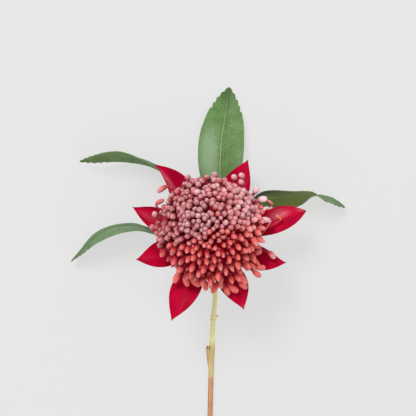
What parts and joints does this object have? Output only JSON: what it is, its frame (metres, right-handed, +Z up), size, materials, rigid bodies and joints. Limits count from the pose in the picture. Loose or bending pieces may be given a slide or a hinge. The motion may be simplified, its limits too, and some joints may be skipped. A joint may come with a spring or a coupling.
{
  "type": "waratah flower, cut stem",
  "caption": "Cut waratah lying on its back: domed head of pink and coral florets, crimson bracts, toothed leaves and a bent stem.",
  "frame": {"origin": "middle of the underside of the whole flower's box, on the surface that it lies on", "axes": "+Z up from the surface, +Y from the cut end of the stem to the top leaf, +X to the right seen from above"},
  "size_m": [0.226, 0.3312, 0.0861],
  "materials": {
    "stem": "satin",
    "leaf": "satin",
    "bract": "matte",
    "frosted_floret": "matte",
    "coral_floret": "satin"
  },
  "bodies": {
    "root": {"stem": "stem", "leaf_top": "leaf", "leaf_upper_left": "leaf", "leaf_lower_left": "leaf", "leaf_right": "leaf", "bract_upper_left": "bract", "bract_top_right": "bract", "bract_right_upper": "bract", "bract_right_lower": "bract", "bract_bottom_right": "bract", "bract_bottom_left": "bract", "bract_left_lower": "bract", "bract_left_upper": "bract", "head_frosted": "frosted_floret", "head_coral": "coral_floret"}
  },
  "joints": []
}
